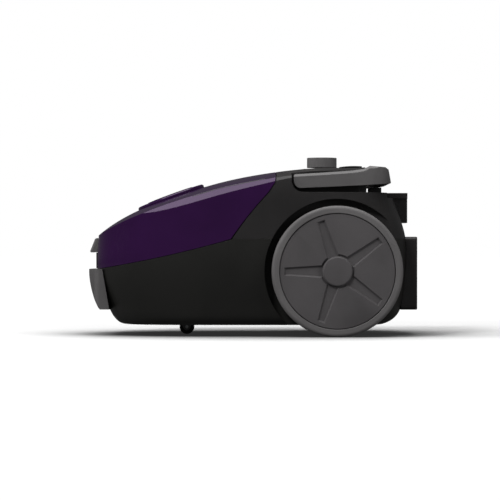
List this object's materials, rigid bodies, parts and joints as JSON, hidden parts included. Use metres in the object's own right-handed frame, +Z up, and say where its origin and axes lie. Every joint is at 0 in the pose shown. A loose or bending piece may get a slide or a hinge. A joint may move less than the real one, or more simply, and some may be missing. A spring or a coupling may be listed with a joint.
{
  "type": "cylinder vacuum cleaner",
  "caption": "Compact cylinder vacuum cleaner for carpets: dust bag under a hinged lid, large rear wheels, front caster, folding carry handle, pedals and cord reel.",
  "frame": {"origin": "on the floor, below the middle of the outline", "axes": "+Z up, -X towards the nose, +Y towards the machine's right as it faces forward"},
  "size_m": [0.403, 0.263, 0.2172],
  "materials": {
    "purple_gloss": "high gloss, dark purple",
    "black_body": "fine satin grain",
    "black_gloss": "gloss black",
    "grey_trim": "satin grey",
    "wheel_grey": "satin dark grey",
    "tyre_grey": "soft grey rubber",
    "black_rubber": "soft",
    "grey_plastic": "moulded, uncoated",
    "bag_fleece": "non-woven fleece",
    "card": "pressed card",
    "filter_white": "pleated fleece",
    "steel": "zinc plated",
    "copper_iron": "varnished windings and laminations",
    "aluminium": "pressed sheet",
    "board_green": "lacquered circuit board"
  },
  "bodies": {
    "base": {"lower_shell": "black_body", "housing_screws": "steel", "motor_bulkhead": "grey_plastic", "front_bumper": "grey_trim", "rear_housing": "black_body", "handle_pivot_pins": "steel", "lid_hinge_pins": "steel", "cord_guide": "black_gloss", "parking_bracket": "black_body", "parking_flange": "black_body", "chamber_seal": "black_rubber", "bag_plate": "card", "bag_cradle": "grey_plastic", "dust_bag": "bag_fleece", "motor_filter": "filter_white", "motor_can": "aluminium", "motor_cradle": "grey_plastic", "motor_mounts": "black_rubber", "motor_bearings": "steel", "motor_stator": "copper_iron", "motor_inlet_duct": "black_rubber", "reel_frame": "grey_plastic", "board_carrier": "grey_plastic", "circuit_board": "board_green", "board_parts": "black_gloss", "suction_control": "black_gloss", "wheel_axles": "steel", "wheel_clips": "steel"},
    "lid": {"lid_shell": "purple_gloss", "hose_port_collar": "purple_gloss", "hose_port_tube": "black_gloss"},
    "lid_latch": {"latch_tab": "grey_trim", "latch_leg": "black_gloss"},
    "handle": {"carry_handle": "grey_trim", "grip_insert": "black_rubber"},
    "power_knob": {"suction_knob": "grey_trim", "knob_spindle": "grey_plastic"},
    "power_button": {"power_pedal": "black_gloss"},
    "rewind_button": {"cord_rewind_pedal": "black_gloss"},
    "reel_brake": {"brake_lever": "grey_plastic", "brake_roller": "black_rubber"},
    "left_wheel": {"left_rim": "black_body", "left_tyre": "tyre_grey", "left_wheel_cover": "wheel_grey"},
    "right_wheel": {"right_rim": "black_body", "right_tyre": "tyre_grey", "right_wheel_cover": "wheel_grey"},
    "caster_swivel": {"caster_fork": "grey_plastic", "caster_axle": "steel", "caster_clip": "steel"},
    "caster_roller": {"caster_wheel": "black_rubber"},
    "motor_rotor": {"motor_shaft": "steel", "fan_impeller": "aluminium", "motor_armature": "copper_iron"},
    "cord_reel": {"reel_drum": "grey_plastic", "reel_flanges": "grey_plastic", "rewind_spring": "steel"},
    "exhaust_door": {"exhaust_cover": "black_body", "exhaust_filter": "filter_white"}
  },
  "joints": [
    {"name": "left_wheel_spin", "type": "hinge", "parent": "base", "child": "left_wheel", "pos_m": [0.1005, -0.11, 0.078], "axis": [0, 1, 0], "continuous": true},
    {"name": "right_wheel_spin", "type": "hinge", "parent": "base", "child": "right_wheel", "pos_m": [0.1005, 0.11, 0.078], "axis": [0, 1, 0], "continuous": true},
    {"name": "caster_swivel_turn", "type": "hinge", "parent": "base", "child": "caster_swivel", "pos_m": [-0.088, 0, 0.03], "axis": [0, 0, 1], "continuous": true},
    {"name": "caster_spin", "type": "hinge", "parent": "caster_swivel", "child": "caster_roller", "pos_m": [-0.081, 0, 0.009], "axis": [0, 1, 0], "continuous": true},
    {"name": "lid_hinge", "type": "hinge", "parent": "base", "child": "lid", "pos_m": [0.035, 0, 0.1943], "axis": [0, 1, 0], "range_deg": [0, 80]},
    {"name": "lid_latch_pull", "type": "hinge", "parent": "lid", "child": "lid_latch", "pos_m": [-0.1885, 0, 0.113], "axis": [0, 1, 0], "range_deg": [0, 15], "stiffness_Nm_per_rad": 0.12},
    {"name": "handle_pivot", "type": "hinge", "parent": "base", "child": "handle", "pos_m": [0.059, 0, 0.1865], "axis": [0, -1, 0], "range_deg": [0, 80]},
    {"name": "knob_turn", "type": "hinge", "parent": "base", "child": "power_knob", "pos_m": [0.0855, 0, 0.2], "axis": [0, 0, 1], "range_deg": [-270, 0]},
    {"name": "power_button_press", "type": "slide", "parent": "base", "child": "power_button", "axis": [0, 0, -1], "range_m": [0, 0.0035], "stiffness_N_per_m": 600, "springref_m": -0.002},
    {"name": "rewind_button_press", "type": "slide", "parent": "base", "child": "rewind_button", "axis": [0, 0, -1], "range_m": [0, 0.0035], "stiffness_N_per_m": 600, "springref_m": -0.002},
    {"name": "reel_brake_turn", "type": "hinge", "parent": "base", "child": "reel_brake", "pos_m": [0.119, 0.025, 0.177], "axis": [0, 1, 0], "range_deg": [0, 20]},
    {"name": "motor_spin", "type": "hinge", "parent": "base", "child": "motor_rotor", "pos_m": [0.06, -0.034, 0.084], "axis": [1, 0, 0], "continuous": true},
    {"name": "cord_reel_spin", "type": "hinge", "parent": "base", "child": "cord_reel", "pos_m": [0.104, 0.05, 0.098], "axis": [0, 1, 0], "continuous": true},
    {"name": "exhaust_door_pull", "type": "slide", "parent": "base", "child": "exhaust_door", "axis": [1, 0, 0], "range_m": [0, 0.04]}
  ],
  "couplings": [
    {"joint": "reel_brake_turn", "follows": "rewind_button_press", "rad_per_m": 97.1}
  ]
}
